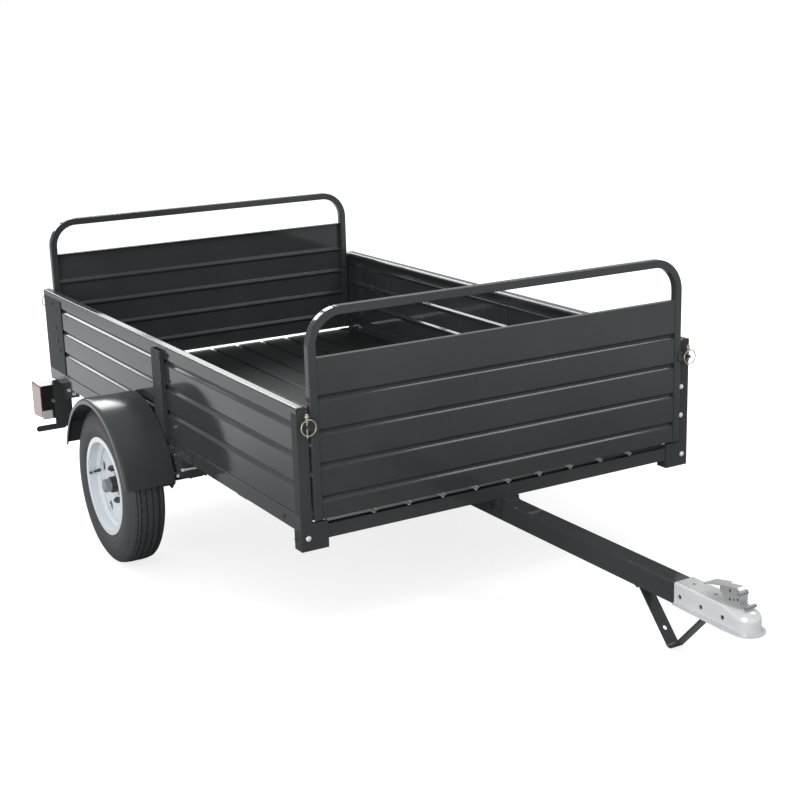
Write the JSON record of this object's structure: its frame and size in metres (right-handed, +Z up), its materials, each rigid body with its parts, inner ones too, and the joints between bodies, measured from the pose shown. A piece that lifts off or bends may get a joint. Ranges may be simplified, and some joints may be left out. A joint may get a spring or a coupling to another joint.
{
  "type": "utility trailer",
  "caption": "Small steel utility trailer with ribbed side panels, a tilting hoop gate at each end, fenders, a square tongue with ball coupler and a V stand.",
  "frame": {"origin": "on the floor, at the middle of the whole trailer's length and width as it is parked", "axes": "+X across the trailer, to the right when seen from the coupler; +Y from the coupler to the rear gate; +Z up"},
  "size_m": [1.74, 3.2019, 1.123],
  "materials": {
    "black_paint": "glossy black powder coat",
    "rim_white": "glossy white paint",
    "hub_black": "satin black paint",
    "zinc_steel": "bright zinc plate",
    "spring_steel": "satin black",
    "pin_yellow_zinc": "yellow zinc plate",
    "tyre_rubber": "matt rubber",
    "lens_red": "clear red moulding",
    "lamp_black": "matt moulding"
  },
  "bodies": {
    "chassis": {"axle": "black_paint", "axle_clamps": "spring_steel", "corner_post_front_left": "black_paint", "corner_post_front_right": "black_paint", "corner_post_rear_left": "black_paint", "corner_post_rear_right": "black_paint", "coupler": "zinc_steel", "coupler_latch": "zinc_steel", "cross_members": "black_paint", "deck_front": "black_paint", "deck_rear": "black_paint", "fender_arms": "black_paint", "fender_left": "black_paint", "fender_right": "black_paint", "front_beam": "black_paint", "front_feet": "black_paint", "lamp_bracket_left": "black_paint", "lamp_bracket_right": "black_paint", "lamp_housing_left": "lamp_black", "lamp_housing_right": "lamp_black", "lamp_lens_left": "lens_red", "lamp_lens_right": "lens_red", "leaf_spring_left": "spring_steel", "leaf_spring_right": "spring_steel", "mid_post_left": "black_paint", "mid_post_right": "black_paint", "rear_beam": "black_paint", "rear_corner_plates": "black_paint", "side_panel_front_left": "black_paint", "side_panel_front_right": "black_paint", "side_panel_rear_left": "black_paint", "side_panel_rear_right": "black_paint", "side_rail_left": "black_paint", "side_rail_right": "black_paint", "spring_hangers_front": "black_paint", "spring_hangers_rear": "black_paint", "spring_shackles": "spring_steel", "tongue": "black_paint", "tongue_saddles": "black_paint", "tongue_stand": "black_paint", "top_rail_left": "black_paint", "top_rail_right": "black_paint"},
    "front_gate": {"front_gate_panel": "black_paint", "front_hoop": "black_paint", "front_linch_pins": "pin_yellow_zinc"},
    "rear_gate": {"rear_gate_panel": "black_paint", "rear_hoop": "black_paint", "rear_linch_pins": "pin_yellow_zinc"},
    "wheel_left": {"hub_left": "hub_black", "rim_left": "rim_white", "tyre_left": "tyre_rubber"},
    "wheel_right": {"hub_right": "hub_black", "rim_right": "rim_white", "tyre_right": "tyre_rubber"}
  },
  "joints": [
    {"name": "front_gate_tilt", "type": "hinge", "parent": "chassis", "child": "front_gate", "pos_m": [0, -0.57572, 0.34896], "axis": [1, 0, 0], "range_deg": [0, 90]},
    {"name": "rear_gate_tilt", "type": "hinge", "parent": "chassis", "child": "rear_gate", "pos_m": [0, 1.55712, 0.55734], "axis": [-1, 0, 0], "range_deg": [0, 130]},
    {"name": "wheel_left_spin", "type": "hinge", "parent": "chassis", "child": "wheel_left", "pos_m": [-0.7815, 0.59293, 0.2655], "axis": [1, 0, 0], "continuous": true},
    {"name": "wheel_right_spin", "type": "hinge", "parent": "chassis", "child": "wheel_right", "pos_m": [0.7815, 0.59293, 0.2655], "axis": [1, 0, 0], "continuous": true}
  ]
}
